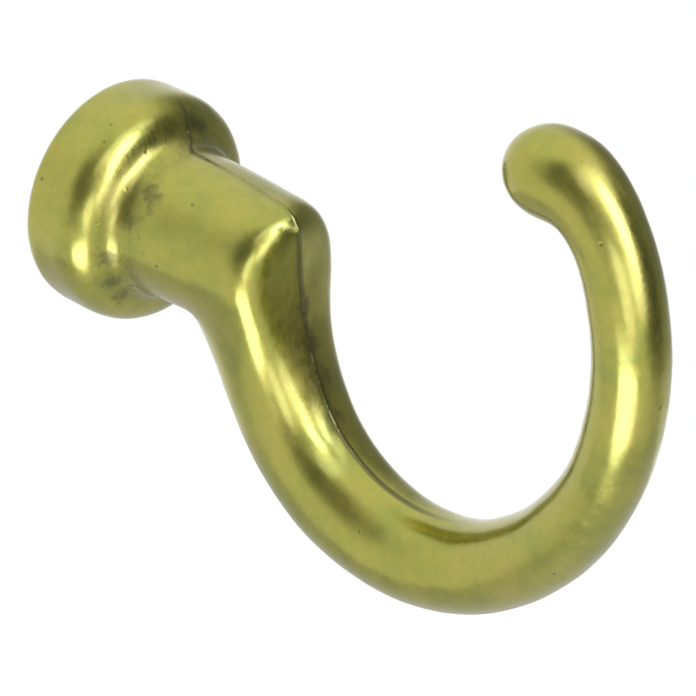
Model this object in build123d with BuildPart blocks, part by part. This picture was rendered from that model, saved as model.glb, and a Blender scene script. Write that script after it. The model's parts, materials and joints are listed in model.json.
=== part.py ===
"""Curtain holdback: a one-piece cast brass hook that is fixed to the wall through the back of its boss.

The wall is the plane y = 0 and the hook stands out from it along -Y, with +Z up. The origin is the centre
of the boss's back face. The hook is symmetric about the plane x = 0, where the two halves of its mould met,
so every face across that plane is slightly crowned, with a faint ridge along the middle.
"""

import os
from math import acos, cos, degrees, radians, sin, tan

from build123d import *

os.makedirs("parts", exist_ok=True)

# Boss, the round foot against the wall: its rim rounds over and swings back through a cove into the barrel
boss_radius = 10.0
boss_back_round = 0.9
boss_side_height = 4.4
boss_rim_round = 2.8
cove_radius = 1.8

# Barrel, from the boss to its flat end face
barrel_radius = 6.5
barrel_end_radius = 6.1
barrel_end_half_width = 5.6
reach_to_end_face = 22.5
end_face_round = 1.4
crown_slope = 0.22

# Blind hole in the back, drilled and tapped for an M5 hanger screw
hole_radius = 2.1
hole_depth = 13.0
hole_mouth_chamfer = 0.4
drill_point_angle = 118.0

# Centreline of the shank and the hook: it starts inside the barrel, nearly straight down, and then follows
# arcs, each with its length and the angle that it turns through, first towards the room and then upwards
start_reach = 17.5
start_height = 1.5
start_heading = 1.5
arcs = [
    (14.4, 25.5),
    (12.0, 48.0),
    (14.3, 46.0),
    (30.2, 63.0),
    (8.0, 21.0),
    (3.3, 21.5),
    (4.5, 46.5),
]

# Bezier handle that turns a quarter curve into a quarter of a circle
round_handle = 0.5523

# Form of the shank and the hook along the centreline, from a D shape at the top to a round rod: the distance
# from its start, half the width, the depth on the inner side and on the outer side, how far the inner corners
# are drawn out towards square, and how much of the crown is left
forms = [
    (-3.0, 3.30, 4.72, 5.50, 1.00, 1.0),
    (-2.2, 4.30, 4.94, 6.00, 1.00, 1.0),
    (-1.2, 5.15, 5.03, 6.60, 0.98, 1.0),
    (0.0, 5.70, 5.03, 6.90, 0.95, 1.0),
    (2.5, 5.80, 5.02, 6.70, 0.93, 1.0),
    (4.5, 5.55, 5.02, 6.30, 0.91, 1.0),
    (6.5, 5.20, 4.95, 5.75, 0.88, 1.0),
    (8.5, 4.90, 4.90, 5.25, 0.85, 0.9),
    (11.0, 4.68, 4.88, 4.90, 0.82, 0.8),
    (16.0, 4.52, 4.88, 4.80, 0.75, 0.6),
    (22.5, 4.42, 4.75, 4.70, 0.66, 0.3),
    (31.0, 4.28, 4.30, 4.30, round_handle, 0.0),
    (44.0, 3.60, 3.60, 3.60, round_handle, 0.0),
    (57.0, 3.12, 3.12, 3.12, round_handle, 0.0),
    (69.5, 3.04, 3.04, 3.04, round_handle, 0.0),
    (78.5, 3.02, 3.02, 3.02, round_handle, 0.0),
    (82.5, 3.22, 3.22, 3.22, round_handle, 0.0),
    (86.7, 3.62, 3.62, 3.62, round_handle, 0.0),
]

# Sections of the head are the rows themselves; after them they follow evenly, this far apart
head_end = 16.0
section_spacing = 4.2

# Dome that closes the tip, a little longer than a half ball, and where its sections lie
tip_dome_stretch = 1.15
dome_angles = (20, 40, 58, 72, 83)


def centreline(distance):
    """Gives the reach, the height and the heading, in degrees from straight down, at a distance along it."""
    reach, height, heading = start_reach, start_height, start_heading
    if distance < 0:
        return reach + distance * sin(radians(heading)), height - distance * cos(radians(heading)), heading
    for length, turn in arcs:
        run = min(distance, length)
        radius = length / radians(turn)
        after = heading + turn * run / length
        reach += radius * (cos(radians(heading)) - cos(radians(after)))
        height -= radius * (sin(radians(after)) - sin(radians(heading)))
        heading = after
        distance -= run
    return reach, height, heading


def section_plane(distance):
    """Gives the plane across the hook there: its x is the part's x, and its y points to the inner side."""
    reach, height, heading = centreline(distance)
    ahead = Vector(0, -sin(radians(heading)), -cos(radians(heading)))
    return Plane(origin=(0, -reach, height), x_dir=(1, 0, 0), z_dir=ahead)


def form_at(distance):
    """Gives the form at a distance along the centreline, worked out between the rows of the table."""
    for before, after in zip(forms, forms[1:]):
        if distance <= after[0]:
            part_way = (distance - before[0]) / (after[0] - before[0])
            return tuple(low + (high - low) * part_way for low, high in zip(before, after))
    return forms[-1]


def section(distance, half_width, inner, outer, inner_handle, crown, ahead=0.0):
    """Gives the face of one section, made of four quarter curves that meet at the sides and the ridge."""
    plane = section_plane(distance).offset(ahead)
    crowned = inner - crown * crown_slope * inner_handle * half_width
    quarters = []
    for side in (half_width, -half_width):
        inner_bend = [(side, inner_handle * inner), (inner_handle * side, crowned)]
        outer_bend = [(side, -round_handle * outer), (round_handle * side, -outer)]
        quarters.append([(side, 0), *inner_bend, (0, inner)])
        quarters.append([(side, 0), *outer_bend, (0, -outer)])
    curves = [Bezier(*[plane.from_local_coords(point) for point in quarter]) for quarter in quarters]
    return Face(Wire(curves))


def dome_section(angle):
    """Gives the round section of the tip's dome at an angle from its rim, 0, towards its pole, 90."""
    end, tip_radius = forms[-1][:2]
    radius = tip_radius * cos(radians(angle))
    ahead = tip_radius * tip_dome_stretch * sin(radians(angle))
    return section(end, radius, radius, radius, round_handle, 0.0, ahead)


# Shank and hook: one tapering form from inside the barrel to the pole of the domed tip
with BuildPart() as rod:
    rod_end = forms[-1][0]
    head = [section(*form) for form in forms if form[0] < head_end]
    steps = round((rod_end - head_end) / section_spacing)
    stations = [head_end + (rod_end - head_end) * step / steps for step in range(steps + 1)]
    rest = [section(*form_at(station)) for station in stations]
    dome = [dome_section(angle) for angle in dome_angles]
    pole = Vertex(section_plane(rod_end).offset(forms[-1][1] * tip_dome_stretch).origin)
    loft([*head, *rest, *dome, pole], clean=False)

# The rim of the boss turns through this angle and the cove turns back through it, which sets the cove's reach
swing = degrees(acos(1 - (boss_radius - barrel_radius) / (boss_rim_round + cove_radius)))
cove_reach = boss_side_height + (boss_rim_round + cove_radius) * sin(radians(swing))

# Barrel: round at the boss, narrower than it is tall at its end, and crowned there towards the mould line
with BuildPart() as barrel:
    spare = 1.0
    with BuildSketch(Plane.XZ.offset(cove_reach)):
        Circle(barrel_radius)
    with BuildSketch(Plane.XZ.offset(reach_to_end_face + spare)):
        Ellipse(barrel_end_half_width, barrel_end_radius)
    loft()
    with BuildSketch(Plane.XY):
        with BuildLine():
            far_x = 2 * barrel_end_half_width
            far_y = -reach_to_end_face + far_x * crown_slope
            out_y = -reach_to_end_face - 2 * spare
            Polyline((0, -reach_to_end_face), (far_x, far_y), (far_x, out_y), (-far_x, out_y), (-far_x, far_y),
                     close=True)
        make_face()
    extrude(amount=2 * barrel_end_radius, both=True, mode=Mode.SUBTRACT)
    end_faces = barrel.faces().filter_by(GeomType.PLANE).sort_by(Axis.Y)[:2]
    ridge = barrel.edges().filter_by(GeomType.LINE).filter_by(Axis.Z)
    rim = [edge for face in end_faces for edge in face.edges() if edge not in ridge]
    fillet(rim, end_face_round)

# Holdback: boss, barrel and hook cast in one, with the blind hole for the hanger screw
with BuildPart() as hook:
    with BuildSketch(Plane.XY):
        with BuildLine():
            side = Line((boss_radius, 0), (boss_radius, -boss_side_height))
            rim = JernArc(side @ 1, (0, -1), boss_rim_round, -swing)
            cove = JernArc(rim @ 1, rim % 1, cove_radius, swing)
            Polyline(cove @ 1, (0, (cove @ 1).Y), (0, 0), side @ 0)
        make_face()
    revolve(axis=Axis.Y)
    fillet(hook.edges().sort_by(Axis.Y)[-1], boss_back_round)
    add(barrel.part)
    add(rod.part)
    with BuildSketch(Plane.YZ):
        with BuildLine():
            point_depth = hole_radius / tan(radians(drill_point_angle / 2))
            Polyline(
                (0, 0),
                (0, hole_radius + hole_mouth_chamfer),
                (-hole_mouth_chamfer, hole_radius),
                (-hole_depth, hole_radius),
                (-hole_depth - point_depth, 0),
                close=True,
            )
        make_face()
    revolve(axis=Axis.Y, mode=Mode.SUBTRACT)

hook.part.label = "hook"
export_step(hook.part, "parts/hook.step")
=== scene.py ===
"""Curtain holdback: the looks of the one-piece cast brass hook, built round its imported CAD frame.

It makes the casting with its finer surface, the thread in the back hole, the satin brass, the pale floor, the
studio light and the camera. Blender's lengths are in metres. The wall is the plane y = 0, +Z is up, and the
reach of a place is its distance from the wall.
"""

import json
from math import cos, pi, radians, sin, tan

import bmesh
import bpy
from bpy.props import FloatProperty, FloatVectorProperty, IntProperty, PointerProperty
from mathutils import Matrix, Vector, noise


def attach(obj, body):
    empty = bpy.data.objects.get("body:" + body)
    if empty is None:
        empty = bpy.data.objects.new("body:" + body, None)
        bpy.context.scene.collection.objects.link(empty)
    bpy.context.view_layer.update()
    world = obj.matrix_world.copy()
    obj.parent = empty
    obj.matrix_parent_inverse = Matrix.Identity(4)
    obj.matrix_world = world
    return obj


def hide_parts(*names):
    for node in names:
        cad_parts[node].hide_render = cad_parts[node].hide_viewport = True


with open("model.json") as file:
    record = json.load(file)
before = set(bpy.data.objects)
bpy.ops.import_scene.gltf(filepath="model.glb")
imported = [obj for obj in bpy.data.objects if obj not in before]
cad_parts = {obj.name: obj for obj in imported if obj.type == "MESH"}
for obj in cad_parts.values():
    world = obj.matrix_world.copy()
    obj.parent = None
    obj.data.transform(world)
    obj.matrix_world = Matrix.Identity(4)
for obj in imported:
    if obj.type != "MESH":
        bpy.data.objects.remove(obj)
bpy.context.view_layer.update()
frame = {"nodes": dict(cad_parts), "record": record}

bl_info = {
    "name": "Curtain holdback looks",
    "version": (1, 0, 0),
    "blender": (4, 5, 0),
    "location": "3D View > Sidebar > Holdback",
    "description": "Makes the cast brass curtain holdback, its finish, its light and its camera",
    "category": "Object",
}

MM = 0.001

# Back hole as the record gives it, and where its walls are looked for in the CAD mesh: within a circle that is
# this much wider than its mouth, and up to this reach, in mm
HOLE = next(mount for mount in frame["record"]["mounts"] if mount["name"] == "hanger_screw_hole")
HOLE_MARGIN = 0.02
HOLE_SEARCH_REACH = 20.0

# How near each other points are merged, in mm: in the CAD mesh, in the tools, and along what the tools cut
CAD_MERGE = 0.001
TOOL_MERGE = 0.0005
CUT_MERGE = 0.003

# Faces that meet at more than this angle, in degrees, have a sharp edge
SHARP_ANGLE = 35

# Tools that cut the hole: corners all round, how far the drill stands out of the wall, and how far the tap's
# core stays inside the hole, in mm
DRILL_CORNERS = 64
DRILL_SPARE = 1.0
TAP_CORNERS = 32
TAP_OVERLAP = 0.15

# Profile of one thread: 0 for the core and 1 for the crest, and how far along the pitch
THREAD_PROFILE = [(0, 0.0), (0, 0.08), (1, 0.44), (1, 0.56), (0, 0.92), (0, 1.0)]

# Softening of the head's edges, at the first pass and at the last, in mm: the reaches where it starts and ends,
# and how far it stays off the middle, which ends between the foot's height and the top's
SOFT_START = (17.0, 12.0)
SOFT_END = (24.0, 36.0)
SOFT_OFF_MIDDLE = (2.6, 1.2)
SOFT_FOOT = 1.0
SOFT_TOP = (5.0, 5.5)

# Waves that hand polishing leaves: their length in mm and their share, and the reaches between which they begin
WAVES = [(5.0, 1.0), (2.0, 0.4)]
WAVES_BEGIN = (1.0, 3.0)

# Mould line, in mm: its bends on the way to the wall, each from one reach to another and with how far it goes
# sideways, and the reaches between which it begins at the boss, wears down on the barrel and ends at the arm
SEAM_BENDS = [(22.5, 12.0, 0.8), (9.6, 6.5, 1.75)]
SEAM_AT_BOSS = (5.0, 6.5)
SEAM_WORN = (10.0, 15.0)
SEAM_AT_ARM = (34.0, 42.0)

# Ridge along it: its share of the full height on the boss, the reaches between which it rises from there, and
# its share where it is worn
RIDGE_ON_BOSS = 0.35
RIDGE_RISES = (7.5, 9.0)
RIDGE_WORN = 0.4

# How much the ridge's height varies and over what length in mm, how near to it points are moved onto it, and how
# near points count as its own, in mm
RIDGE_VARIES = 0.3
RIDGE_WAVE = 3.0
RIDGE_SNAP = 0.02
RIDGE_NEAR = 0.005

# Dark line along it, in mm: where it starts and where it is full on its way to the middle, how dark it is where
# the ridge is worn, and the reaches between which it is full again, at the end face
LINE_EDGE = (0.42, 0.14)
LINE_WORN = 0.3
LINE_AT_END_FACE = (21.0, 23.0)

# Noise patterns in the brass: how many fit into a metre, how many finer layers, and how strong those are
CLOUD = (240.0, 6.0, 0.62)
RAGGED = (620.0, 5.0, 0.7)
GRAIN = (1500.0, 3.0, 0.5)

# Polishing marks: how many fit into a metre along each axis, how the axes are turned, in radians, and their noise
MARKS_SCALE = (2600.0, 260.0, 900.0)
MARKS_TURN = (0.5, 0.2, 0.4)
MARKS = (1.0, 4.0, 0.5)

# Mottle of the clean brass: places in the cloud pattern, each with shares of the brass's red, green and blue
MOTTLE = [
    (0.36, (0.8, 0.91, 0.95)),
    (0.5, (0.98, 1.01, 1.0)),
    (0.66, (1.08, 1.04, 1.15)),
]

# Grain in the colour: where it starts and is full in its pattern, from nothing to how much, and its darkness
GRAIN_TINT = (0.35, 0.7, 0.0, 0.18)
GRAIN_SHADE = 0.7

# Pits: cells per metre, the reaches between which the share of empty cells goes from one value to another, where
# a pit starts and is full in its cell, and how ragged its edge is
PIT_CELLS = 800.0
PIT_REACHES = (14.0, 7.0)
PIT_EMPTY = (0.96, 0.75)
PIT_EDGE = (0.38, 0.26)
PIT_RAGGED = 0.4

# Patina and painted shade in the cove round the barrel's root: the radii, and the reaches from either side in mm,
# where it starts and is full, how strong it is, and where it starts and is full in the ragged pattern
COVE_RADII = (8.4, 7.4)
COVE_FROM_WALL = (6.4, 7.2)
COVE_FROM_ROOM = (10.5, 8.6)
COVE_PATINA_AND_SHADE = 0.4
COVE_RAGGED = (0.38, 0.62)

# Spots of patina and painted shade, each with its place and its radius in mm, and how far the ragged pattern
# moves their edges
PATINA_AND_SHADE_SPOTS = [
    # Round the barrel's root: patina, with painted shade of the cove, its crease and the boss's shaded face
    ((-4.4, -9.4, 4.7), 2.0),
    ((-5.9, -8.9, 2.6), 1.6),
    ((-7.5, -7.2, -1.2), 1.4),
    ((-6.6, -7.3, -3.2), 1.5),
    ((-5.4, -7.3, -5.1), 1.6),
    ((-3.6, -9.0, -6.2), 2.4),
    ((1.9, -7.7, 6.8), 1.3),
    ((3.3, -7.0, 7.4), 1.9),
    # Beside the mould line on the inner face: painted shade of the crowned face's halves
    ((0.1, -22.9, -2.5), 1.0),
    ((0.1, -23.6, -5.5), 1.6),
    ((0.2, -24.7, -8.6), 1.7),
    ((0.2, -26.6, -11.2), 1.3),
]
SPOTS_RAGGED = 5.0

# How strongly the mould line, the patina with its painted shade and the pits darken the brass, and how much
# rougher they make it
LINE_DARK = 0.85
PATINA_AND_SHADE_DARK = 0.72
PITS_DARK = 0.6
DARK_ROUGHER = 0.15

# Change of the brass's roughness from one place to another in the cloud pattern and in the polishing marks
CLOUD_GLOSS = (0.3, 0.7, -0.04, 0.04)
MARKS_GLOSS = (0.35, 0.7, -0.02, 0.04)
WAX_ROUGHNESS = 0.15

# Relief: the height of marks and grain against the depth of a pit, its strength, and that depth in mm
MARKS_HEIGHT = 0.12
GRAIN_HEIGHT = 0.12
RELIEF_STRENGTH = 0.6
RELIEF_DEPTH = 0.04

# Floor: how far it goes to each side in metres, its grey, its roughness, and how much it glows to the camera and
# in reflections
FLOOR_HALF_WIDTH = 0.5
FLOOR_GREY = 0.5
FLOOR_ROUGHNESS = 0.9
FLOOR_GLOW_SEEN = 0.6
FLOOR_GLOW_REFLECTED = 0.15

# Camera: the point that it looks at, in mm, the width of its sensor, in mm, and where its view starts, in metres
CAMERA_TARGET = (0.0, -27.898, -4.175)
SENSOR_WIDTH = 36.0
CLIP_START = 0.01

# Soft boxes: their distance in metres, their slightly cool white, and for each its name, its angle round the hook
# and elevation, its width and height, all in degrees, and how much brighter than white it is
LAMP_DISTANCE = 0.5
LAMP_COLOUR = (1.0, 1.0, 1.4)
LAMPS = [
    ("key_light", 0, 32, (29, 42), 5.8),
    ("top_light", -8, 56, (70, 26), 1.1),
    ("front_light", -8, 6, (32, 20), 2.6),
    ("side_light", -42, 0, (28, 28), 1.7),
    ("low_light", -57, -33, (46, 23), 4.0),
]

# Walls of the studio as they show in the brass: the level all round, and then patches that are paler or darker,
# each with its angle and elevation, where it is full and where it ends in degrees from its middle, and its level
WALLS_LEVEL = 1.08
WALL_PATCHES = [
    (0, 90, 25, 70, 1.25),
    (33, 7, 12, 55, 0.1),
    (86, 8, 15, 52, 0.3),
    (-80, 32, 10, 48, 0.3),
    (0, -90, 20, 55, 0.6),
]


# Properties


class CastingSettings(bpy.types.PropertyGroup):
    """Sizes of the casting's finer surface."""

    voxel: FloatProperty(
        name="Grid",
        description="Spacing of the casting's surface grid",
        default=0.235 * MM,
        unit="LENGTH",
        precision=5,
    )
    smoothing: IntProperty(
        name="Smoothing", description="How many times the surface is smoothed", default=14, min=0
    )
    softening: IntProperty(
        name="Softening", description="How many times more the head's edges are smoothed", default=96, min=0
    )
    unevenness: FloatProperty(
        name="Unevenness",
        description="How far hand polishing left it wavy",
        default=0.05 * MM,
        unit="LENGTH",
        precision=5,
    )
    seam_height: FloatProperty(
        name="Seam height",
        description="Height of the mould line's ridge",
        default=0.09 * MM,
        unit="LENGTH",
        precision=5,
    )
    seam_width: FloatProperty(
        name="Seam width",
        description="Width of the mould line's ridge",
        default=0.5 * MM,
        unit="LENGTH",
        precision=5,
    )


class ThreadSettings(bpy.types.PropertyGroup):
    """Sizes of the thread in the back hole."""

    diameter: FloatProperty(
        name="Diameter", description="Thread's outside diameter", default=5.0 * MM, unit="LENGTH"
    )
    pitch: FloatProperty(
        name="Pitch", description="From one thread to the next", default=0.8 * MM, unit="LENGTH"
    )
    chamfer: FloatProperty(
        name="Chamfer", description="Width of the mouth's chamfer", default=0.4 * MM, unit="LENGTH"
    )
    point_angle: FloatProperty(
        name="Point angle", description="Angle of the drill's point", default=radians(118.0), subtype="ANGLE"
    )


class BrassSettings(bpy.types.PropertyGroup):
    """Colours and gloss of the satin brass."""

    colour: FloatVectorProperty(
        name="Brass",
        description="Colour of the clean brass",
        subtype="COLOR",
        size=3,
        min=0.0,
        max=1.0,
        default=(0.362, 0.34, 0.063),
    )
    # Also paints the shade in the cove and beside the mould line on the inner face
    patina_and_shade: FloatVectorProperty(
        name="Patina",
        description="Colour of the old polish and tarnish left in the corners",
        subtype="COLOR",
        size=3,
        min=0.0,
        max=1.0,
        default=(0.1, 0.095, 0.03),
    )
    wax: FloatProperty(
        name="Wax",
        description="Thin clear wax over the brass",
        default=0.35,
        min=0.0,
        max=1.0,
        subtype="FACTOR",
    )
    roughness: FloatProperty(
        name="Roughness",
        description="Roughness of the clean brass",
        default=0.25,
        min=0.0,
        max=1.0,
        subtype="FACTOR",
    )


class StageSettings(bpy.types.PropertyGroup):
    """The camera's place, and how far the floor lies below the hook."""

    azimuth: FloatProperty(
        name="Azimuth",
        description="Camera's angle round the hook",
        default=radians(-45.765),
        subtype="ANGLE",
    )
    elevation: FloatProperty(
        name="Elevation",
        description="Camera's angle above the horizon",
        default=radians(30.689),
        subtype="ANGLE",
    )
    distance: FloatProperty(
        name="Distance",
        description="From the camera to its target",
        default=288.806 * MM,
        unit="LENGTH",
    )
    lens: FloatProperty(
        name="Lens", description="Focal length in mm on a 36 mm sensor", default=185.77
    )
    floor_drop: FloatProperty(
        name="Floor drop", description="From the hook down to the floor", default=450 * MM, unit="LENGTH"
    )


# Materials


def node(tree, kind, inputs=None, **settings):
    """Adds a node with the given settings, and sets or links its inputs by name or place."""
    made = tree.nodes.new(kind)
    for name, value in settings.items():
        setattr(made, name, value)
    for name, value in (inputs or {}).items():
        if isinstance(value, bpy.types.NodeSocket):
            tree.links.new(value, made.inputs[name])
        else:
            made.inputs[name].default_value = value
    return made


def joined(tree, operation, first, second):
    """Gives the result of a Math node."""
    return node(tree, "ShaderNodeMath", {0: first, 1: second}, operation=operation).outputs["Value"]


def vector_joined(tree, operation, first, second):
    """Gives the outputs of a Vector Math node of two vectors: its vector and its value."""
    return node(tree, "ShaderNodeVectorMath", {0: first, 1: second}, operation=operation).outputs


def eased(tree, value, start, end, low=0.0, high=1.0):
    """Gives a value that turns softly from low to high while the given one goes from start to end."""
    inputs = {"Value": value, "From Min": start, "From Max": end, "To Min": low, "To Max": high}
    return node(tree, "ShaderNodeMapRange", inputs, interpolation_type="SMOOTHSTEP").outputs["Result"]


def eased_mm(tree, length, span, low=0.0, high=1.0):
    """Gives a value that turns softly from low to high while a length goes through a span in mm."""
    return eased(tree, length, span[0] * MM, span[1] * MM, low, high)


def tinted(tree, factor, first, second):
    """Gives a mix of two colours."""
    return node(tree, "ShaderNodeMix", {0: factor, 6: first, 7: second}, data_type="RGBA").outputs[2]


def pattern(tree, place, scale, detail, roughness):
    """Gives a noise pattern that is mostly between 0.3 and 0.7."""
    inputs = {"Vector": place, "Scale": scale, "Detail": detail, "Roughness": roughness}
    return node(tree, "ShaderNodeTexNoise", inputs).outputs["Fac"]


def seam_mask(tree, across, reach):
    """Gives 1 along the mould line and 0 away from it, fading at the boss, on the barrel and at the arm."""
    for start, end, width in SEAM_BENDS:
        across = joined(tree, "SUBTRACT", across, eased_mm(tree, reach, (start, end), 0.0, width * MM))
    line = eased_mm(tree, joined(tree, "ABSOLUTE", across, 0.0), LINE_EDGE)
    line = joined(tree, "MULTIPLY", line, eased_mm(tree, reach, SEAM_AT_BOSS))
    on_barrel = eased_mm(tree, reach, SEAM_WORN, 1.0, LINE_WORN)
    at_end_face = eased_mm(tree, reach, LINE_AT_END_FACE, 0.0, 1.0 - LINE_WORN)
    line = joined(tree, "MULTIPLY", line, joined(tree, "ADD", on_barrel, at_end_face))
    return joined(tree, "MULTIPLY", line, eased_mm(tree, reach, SEAM_AT_ARM, 1.0, 0.0))


def patina_and_shade_mask(tree, place, reach, ragged):
    """Gives 1 in the spots of patina and painted shade and, more weakly, in the cove round the barrel's root."""
    across = vector_joined(tree, "MULTIPLY", place, (1.0, 0.0, 1.0))["Vector"]
    radius = node(tree, "ShaderNodeVectorMath", {0: across}, operation="LENGTH").outputs["Value"]
    cove = joined(tree, "MULTIPLY", eased_mm(tree, radius, COVE_RADII), eased_mm(tree, reach, COVE_FROM_WALL))
    cove = joined(tree, "MULTIPLY", cove, eased_mm(tree, reach, COVE_FROM_ROOM, 0.0, COVE_PATINA_AND_SHADE))
    mask = joined(tree, "MULTIPLY", cove, eased(tree, ragged, *COVE_RAGGED))
    loose = joined(tree, "MULTIPLY", joined(tree, "SUBTRACT", ragged, 0.5), SPOTS_RAGGED * MM)
    for middle, size in PATINA_AND_SHADE_SPOTS:
        away = vector_joined(tree, "DISTANCE", place, tuple(value * MM for value in middle))["Value"]
        spot = eased_mm(tree, joined(tree, "ADD", away, loose), (size, 0.0))
        mask = joined(tree, "MAXIMUM", mask, spot)
    return mask


def pit_mask(tree, place, reach, ragged):
    """Gives 1 in the pits, which are scattered over the brass and closest on the boss."""
    cells = node(tree, "ShaderNodeTexVoronoi", {"Vector": place, "Scale": PIT_CELLS}).outputs
    chance = node(tree, "ShaderNodeSeparateColor", {"Color": cells["Color"]}).outputs["Red"]
    chosen = joined(tree, "GREATER_THAN", chance, eased_mm(tree, reach, PIT_REACHES, *PIT_EMPTY))
    away = joined(tree, "ADD", cells["Distance"], joined(tree, "MULTIPLY", ragged, PIT_RAGGED))
    return joined(tree, "MULTIPLY", chosen, eased(tree, away, *PIT_EDGE))


def mottled(tree, cloud, clean):
    """Gives the clean brass's colour with its mottle of warmer and greener clouds."""
    made = node(tree, "ShaderNodeValToRGB", {"Fac": cloud})
    elements = made.color_ramp.elements
    elements[0].position, elements[-1].position = MOTTLE[0][0], MOTTLE[-1][0]
    for position, _ in MOTTLE[1:-1]:
        elements.new(position)
    for element, (_, shares) in zip(elements, MOTTLE):
        element.color = (*(share * part for share, part in zip(shares, clean)), 1.0)
    return made.outputs["Color"]


def satin_brass(settings):
    """Makes the satin brass: a soft mottle, polishing marks, pits, and patina with painted shade in the corners
    and at the seam.
    """
    material = bpy.data.materials.new("satin_brass")
    material.use_nodes = True
    tree = material.node_tree
    shader = tree.nodes["Principled BSDF"]
    shader.inputs["Metallic"].default_value = 1.0
    shader.inputs["Coat Weight"].default_value = settings.wax
    shader.inputs["Coat Roughness"].default_value = WAX_ROUGHNESS
    place = node(tree, "ShaderNodeTexCoord").outputs["Object"]
    axes = node(tree, "ShaderNodeSeparateXYZ", {"Vector": place}).outputs
    reach = joined(tree, "MULTIPLY", axes["Y"], -1.0)
    cloud = pattern(tree, place, *CLOUD)
    ragged = pattern(tree, place, *RAGGED)
    grain = pattern(tree, place, *GRAIN)
    turned = node(tree, "ShaderNodeMapping", {"Vector": place, "Scale": MARKS_SCALE, "Rotation": MARKS_TURN})
    marks = pattern(tree, turned.outputs["Vector"], *MARKS)

    clean = Vector(settings.colour)
    shade = (*(GRAIN_SHADE * clean), 1.0)
    colour = tinted(tree, eased(tree, grain, *GRAIN_TINT), mottled(tree, cloud, clean), shade)

    pits = pit_mask(tree, place, reach, ragged)
    line = joined(tree, "MULTIPLY", seam_mask(tree, axes["X"], reach), LINE_DARK)
    # Patina in the cove and spots, with painted shade of the cove and of the inner face beside the mould line
    patina_and_shade = joined(tree, "MULTIPLY", patina_and_shade_mask(tree, place, reach, ragged), PATINA_AND_SHADE_DARK)
    pitted = joined(tree, "MULTIPLY", pits, PITS_DARK)
    dark = joined(tree, "MAXIMUM", joined(tree, "MAXIMUM", line, patina_and_shade), pitted)
    colour = tinted(tree, dark, colour, (*settings.patina_and_shade, 1.0))
    tree.links.new(colour, shader.inputs["Base Color"])

    gloss = joined(tree, "ADD", eased(tree, cloud, *CLOUD_GLOSS), eased(tree, marks, *MARKS_GLOSS))
    gloss = joined(tree, "ADD", gloss, joined(tree, "MULTIPLY", dark, DARK_ROUGHER))
    gloss = joined(tree, "ADD", gloss, settings.roughness)
    tree.links.new(gloss, shader.inputs["Roughness"])

    marks = joined(tree, "MULTIPLY", marks, MARKS_HEIGHT)
    grain = joined(tree, "MULTIPLY", grain, GRAIN_HEIGHT)
    height = joined(tree, "SUBTRACT", joined(tree, "ADD", marks, grain), pits)
    relief = {"Strength": RELIEF_STRENGTH, "Distance": RELIEF_DEPTH * MM, "Height": height}
    tree.links.new(node(tree, "ShaderNodeBump", relief).outputs["Normal"], shader.inputs["Normal"])
    return material


def pale_floor():
    """Makes the floor's material: matt grey that glows white to the camera and a little in reflections."""
    material = bpy.data.materials.new("pale_floor")
    material.use_nodes = True
    tree = material.node_tree
    shader = tree.nodes["Principled BSDF"]
    shader.inputs["Base Color"].default_value = (FLOOR_GREY, FLOOR_GREY, FLOOR_GREY, 1.0)
    shader.inputs["Roughness"].default_value = FLOOR_ROUGHNESS
    path = node(tree, "ShaderNodeLightPath").outputs
    seen = joined(tree, "MULTIPLY", path["Is Camera Ray"], FLOOR_GLOW_SEEN)
    reflected = joined(tree, "MULTIPLY", path["Is Glossy Ray"], FLOOR_GLOW_REFLECTED)
    glow = node(tree, "ShaderNodeEmission", {"Strength": joined(tree, "ADD", seen, reflected)})
    both = node(tree, "ShaderNodeAddShader", {0: shader.outputs["BSDF"], 1: glow.outputs["Emission"]})
    tree.links.new(both.outputs["Shader"], tree.nodes["Material Output"].inputs["Surface"])
    return material


# Meshes


def new_piece(name, made):
    """Makes an object of that bmesh at the origin and frees the bmesh."""
    mesh = bpy.data.meshes.new(name)
    made.to_mesh(mesh)
    made.free()
    piece = bpy.data.objects.new(name, mesh)
    bpy.context.scene.collection.objects.link(piece)
    return piece


def apply_modifiers(piece):
    """Applies the piece's modifiers to its mesh."""
    graph = bpy.context.evaluated_depsgraph_get()
    mesh = bpy.data.meshes.new_from_object(piece.evaluated_get(graph))
    piece.modifiers.clear()
    piece.data = mesh


def smoothstep(value, start, end, low=0.0, high=1.0):
    """Gives low before the start and high after the end, with a soft way in between."""
    part_way = min(max((value - start) / (end - start), 0.0), 1.0)
    return low + (high - low) * part_way * part_way * (3.0 - 2.0 * part_way)


def between(span, part_way):
    """Gives the value that lies part way from the span's first value to its second."""
    return span[0] + (span[1] - span[0]) * part_way


def plug_hole(made, radius):
    """Takes the walls of the back hole out of the mesh and closes its mouth."""
    walls = [
        face for face in made.faces
        if all(Vector((vert.co.x, vert.co.z)).length < radius for vert in face.verts)
        and face.calc_center_median().y > -HOLE_SEARCH_REACH * MM
    ]
    bmesh.ops.delete(made, geom=walls, context="FACES")
    bmesh.ops.holes_fill(made, edges=[edge for edge in made.edges if edge.is_boundary], sides=0)


def smooth(made, verts):
    """Smooths those vertices once."""
    bmesh.ops.smooth_vert(made, verts=verts, factor=0.5, use_axis_x=True, use_axis_y=True, use_axis_z=True)


def soften_head(made, passes):
    """Rounds the edges of the barrel's end and the shank, but not the crown along the inner face's middle."""
    for step in range(passes):
        part_way = step / passes
        start, end = between(SOFT_START, part_way) * MM, between(SOFT_END, part_way ** 2) * MM
        off_middle, top = between(SOFT_OFF_MIDDLE, part_way) * MM, between(SOFT_TOP, part_way)
        smooth(made, [
            vert for vert in made.verts
            if start < -vert.co.y < end
            and abs(vert.co.x) > off_middle * smoothstep(vert.co.z / MM, SOFT_FOOT, top, 1.0, 0.0)
        ])


def seam_wander(reach):
    """Gives how far the mould line has wandered sideways at that reach."""
    return sum(width * smoothstep(reach / MM, start, end) for start, end, width in SEAM_BENDS) * MM


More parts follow.
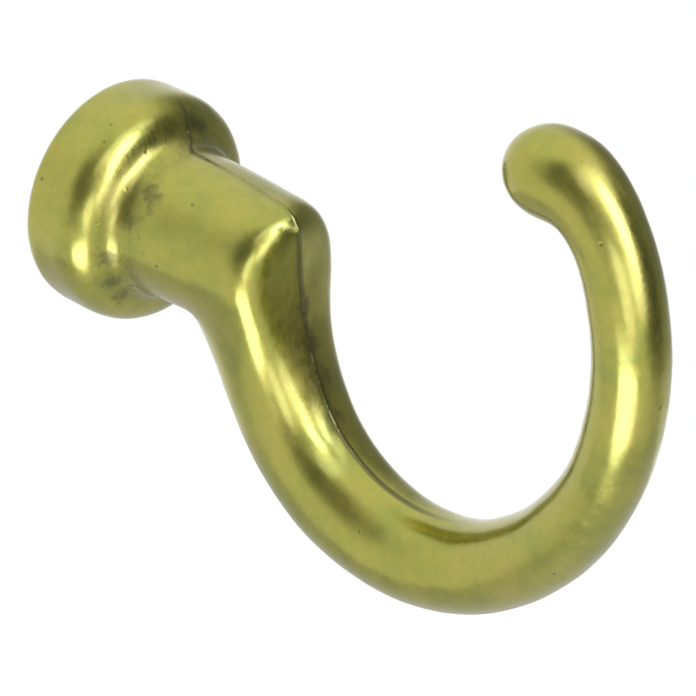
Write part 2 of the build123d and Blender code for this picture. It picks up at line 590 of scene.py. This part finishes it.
def raise_seam(made, sizes):
    """Cuts the mould line's middle and edges into the mesh, and lifts its ridge."""
    for vert in made.verts:
        vert.co.x -= seam_wander(-vert.co.y)
    for across in (-sizes.seam_width / 2, 0.0, sizes.seam_width / 2):
        everything = [*made.verts, *made.edges, *made.faces]
        bmesh.ops.bisect_plane(
            made, geom=everything, dist=RIDGE_SNAP * MM, plane_co=(across, 0.0, 0.0),
            plane_no=(1.0, 0.0, 0.0), use_snap_center=True,
        )
    ridge = [vert for vert in made.verts if abs(vert.co.x) < RIDGE_NEAR * MM]
    for vert in made.verts:
        vert.co.x += seam_wander(-vert.co.y)
    made.normal_update()
    for vert in ridge:
        reach = -vert.co.y / MM
        lift = sizes.seam_height * smoothstep(reach, *SEAM_AT_BOSS) * smoothstep(reach, *SEAM_AT_ARM, 1.0, 0.0)
        lift *= smoothstep(reach, *RIDGE_RISES, RIDGE_ON_BOSS, 1.0)
        lift *= smoothstep(reach, *SEAM_WORN, 1.0, RIDGE_WORN)
        vert.co += vert.normal * lift * (1.0 + RIDGE_VARIES * noise.noise(vert.co / (RIDGE_WAVE * MM)))


def roughen(made, amount):
    """Makes the surface a little wavy, as hand polishing leaves it, apart from the flat back."""
    made.normal_update()
    for vert in made.verts:
        wave = sum(share * noise.noise(vert.co / (length * MM)) for length, share in WAVES)
        vert.co += vert.normal * amount * wave * smoothstep(-vert.co.y / MM, *WAVES_BEGIN)


def spun(name, profile, corners, angle, rise):
    """Makes a tool: a profile round the Y axis, rising by that much at each corner, closed where it is open."""
    made = bmesh.new()
    verts = [made.verts.new((across, along, 0.0)) for across, along in profile]
    edges = [made.edges.new(pair) for pair in zip(verts, verts[1:])]
    bmesh.ops.spin(
        made, geom=verts + edges, cent=(0.0, 0.0, 0.0), axis=(0.0, 1.0, 0.0), dvec=(0.0, rise, 0.0),
        angle=angle, steps=corners, use_merge=False, use_duplicate=False,
    )
    bmesh.ops.remove_doubles(made, verts=made.verts, dist=TOOL_MERGE * MM)
    open_edges = [edge for edge in made.edges if edge.is_boundary]
    ends = bmesh.ops.holes_fill(made, edges=open_edges, sides=0)["faces"]
    bmesh.ops.poke(made, faces=ends)
    bmesh.ops.recalc_face_normals(made, faces=made.faces)
    return new_piece(name, made)


def drill(depth, radius, chamfer, point_angle):
    """Makes the tool that cuts the plain hole: a cylinder with a drill point and the mouth's chamfer."""
    spare = DRILL_SPARE * MM
    point = depth + radius / tan(point_angle / 2)
    profile = [
        (0.0, spare), (radius + chamfer + spare, spare), (radius, -chamfer), (radius, -depth), (0.0, -point),
    ]
    return spun("drill", profile, DRILL_CORNERS, 2 * pi, 0.0)


def tap(depth, radius, diameter, pitch):
    """Makes the tool that cuts the thread: a profile of one thread spun along a helix, with its ends closed."""
    radii = (radius - TAP_OVERLAP * MM, diameter / 2)
    profile = [(radii[crest], -depth + along * pitch) for crest, along in THREAD_PROFILE]
    turns = round(depth / pitch) + 1
    corners = TAP_CORNERS * turns
    return spun("tap", profile, corners, 2 * pi * turns, turns * pitch / corners)


def cut(piece, tool):
    """Cuts the tool's shape out of the piece, merges the doubles along the cut, and deletes the tool."""
    change = piece.modifiers.new("cut", "BOOLEAN")
    change.operation = "DIFFERENCE"
    change.solver = "EXACT"
    change.object = tool
    before = len(piece.data.polygons)
    apply_modifiers(piece)
    if len(piece.data.polygons) <= before // 2:
        raise RuntimeError("the casting was lost while its hole was cut")
    bpy.data.objects.remove(tool)
    made = bmesh.new()
    made.from_mesh(piece.data)
    bmesh.ops.remove_doubles(made, verts=made.verts, dist=CUT_MERGE * MM)
    made.to_mesh(piece.data)
    made.free()


# Stage


def direction(turn, tilt):
    """Gives the unit vector towards an angle round the hook, from straight out of the wall, and an elevation."""
    return Vector((sin(turn) * cos(tilt), -cos(turn) * cos(tilt), sin(tilt)))


def area_light(name, target, turn, tilt, size, glow):
    """Adds a soft box in that direction, with its angular width and height, glowing at that level."""
    width, height = (2 * LAMP_DISTANCE * tan(radians(angle) / 2) for angle in size)
    lamp = bpy.data.lights.new(name, "AREA")
    lamp.shape = "ELLIPSE"
    lamp.size, lamp.size_y = width, height
    lamp.energy = glow * pi * width * height * pi / 4
    lamp.color = LAMP_COLOUR
    made = bpy.data.objects.new(name, lamp)
    towards = direction(radians(turn), radians(tilt))
    made.location = target + LAMP_DISTANCE * towards
    made.rotation_euler = towards.to_track_quat("Z", "Y").to_euler()
    made.visible_camera = False
    bpy.context.scene.collection.objects.link(made)


def studio_world():
    """Makes the studio's surroundings: white to the camera, and paler and darker walls in reflections."""
    world = bpy.data.worlds.new("studio")
    world.use_nodes = True
    tree = world.node_tree
    towards = node(tree, "ShaderNodeTexCoord").outputs["Generated"]
    level = WALLS_LEVEL
    for turn, tilt, inner, outer, patch_level in WALL_PATCHES:
        middle = direction(radians(turn), radians(tilt))
        nearness = vector_joined(tree, "DOT_PRODUCT", towards, middle)["Value"]
        patch = eased(tree, nearness, cos(radians(outer)), cos(radians(inner)))
        level = node(tree, "ShaderNodeMix", {"Factor": patch, "A": level, "B": patch_level}).outputs["Result"]
    seen = node(tree, "ShaderNodeLightPath").outputs["Is Camera Ray"]
    level = node(tree, "ShaderNodeMix", {"Factor": seen, "A": level, "B": 1.0}).outputs["Result"]
    surroundings = tree.nodes["Background"]
    surroundings.inputs["Color"].default_value = (1.0, 1.0, 1.0, 1.0)
    tree.links.new(level, surroundings.inputs["Strength"])
    return world


# Operators


class HOLDBACK_OT_casting(bpy.types.Operator):
    """Makes the brass casting, with its mould line and the tapped hole in its back"""

    bl_idname = "holdback.casting"
    bl_label = "Casting"

    def execute(self, context):
        sizes = context.scene.holdback_casting
        thread = context.scene.holdback_thread
        radius = HOLE["dims"]["r_mm"] * MM
        depth = HOLE["dims"]["length_mm"] * MM + thread.chamfer

        made = bmesh.new()
        made.from_mesh(frame["nodes"]["hook"].data)
        bmesh.ops.remove_doubles(made, verts=made.verts, dist=CAD_MERGE * MM)
        plug_hole(made, radius + thread.chamfer + HOLE_MARGIN * MM)
        casting = new_piece("casting", made)
        grid = casting.modifiers.new("grid", "REMESH")
        grid.mode = "VOXEL"
        grid.voxel_size = sizes.voxel
        grid.use_smooth_shade = True
        apply_modifiers(casting)

        made = bmesh.new()
        made.from_mesh(casting.data)
        for _ in range(sizes.smoothing):
            smooth(made, made.verts)
        soften_head(made, sizes.softening)
        raise_seam(made, sizes)
        roughen(made, sizes.unevenness)
        made.to_mesh(casting.data)
        made.free()

        cut(casting, drill(depth, radius, thread.chamfer, thread.point_angle))
        cut(casting, tap(depth, radius, thread.diameter, thread.pitch))
        casting.data.shade_smooth()
        casting.data.set_sharp_from_angle(angle=radians(SHARP_ANGLE))

        casting.data.materials.clear()
        casting.data.materials.append(satin_brass(context.scene.holdback_brass))
        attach(casting, "root")
        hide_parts("hook")
        return {"FINISHED"}


class HOLDBACK_OT_stage(bpy.types.Operator):
    """Makes the floor, the lights and the camera"""

    bl_idname = "holdback.stage"
    bl_label = "Stage"

    def execute(self, context):
        scene = context.scene
        settings = scene.holdback_stage
        target = Vector([value * MM for value in CAMERA_TARGET])

        made = bmesh.new()
        bmesh.ops.create_grid(made, x_segments=1, y_segments=1, size=FLOOR_HALF_WIDTH)
        bmesh.ops.translate(made, verts=made.verts, vec=(0.0, 0.0, -settings.floor_drop))
        floor = new_piece("floor", made)
        floor.data.materials.append(pale_floor())

        back = direction(settings.azimuth, settings.elevation)
        optics = bpy.data.cameras.new("camera")
        optics.sensor_width = SENSOR_WIDTH
        optics.lens = settings.lens
        optics.clip_start = CLIP_START
        camera = bpy.data.objects.new("camera", optics)
        camera.location = target + back * settings.distance
        camera.rotation_euler = (-back).to_track_quat("-Z", "Y").to_euler()
        scene.collection.objects.link(camera)
        scene.camera = camera

        scene.world = studio_world()
        for name, turn, tilt, size, glow in LAMPS:
            area_light(name, target, turn, tilt, size, glow)
        scene.view_settings.view_transform = "Standard"
        return {"FINISHED"}


class HOLDBACK_PT_panel(bpy.types.Panel):
    """Lists the operators and their settings"""

    bl_idname = "HOLDBACK_PT_panel"
    bl_label = "Curtain holdback"
    bl_space_type = "VIEW_3D"
    bl_region_type = "UI"
    bl_category = "Holdback"

    def draw(self, context):
        for operator, groups in STEPS:
            self.layout.operator(operator)
            for group in groups:
                for name in group.__annotations__:
                    self.layout.prop(getattr(context.scene, SETTINGS[group]), name)


STEPS = [
    ("holdback.casting", (CastingSettings, ThreadSettings, BrassSettings)),
    ("holdback.stage", (StageSettings,)),
]
SETTINGS = {
    CastingSettings: "holdback_casting",
    ThreadSettings: "holdback_thread",
    BrassSettings: "holdback_brass",
    StageSettings: "holdback_stage",
}
CLASSES = (*SETTINGS, HOLDBACK_OT_casting, HOLDBACK_OT_stage, HOLDBACK_PT_panel)


def register():
    for kind in CLASSES:
        bpy.utils.register_class(kind)
    for group, name in SETTINGS.items():
        setattr(bpy.types.Scene, name, PointerProperty(type=group))


def unregister():
    for name in SETTINGS.values():
        delattr(bpy.types.Scene, name)
    for kind in reversed(CLASSES):
        bpy.utils.unregister_class(kind)


def main():
    register()
    bpy.ops.holdback.casting()
    bpy.ops.holdback.stage()
    bpy.context.view_layer.update()


if __name__ == "__main__":
    main()
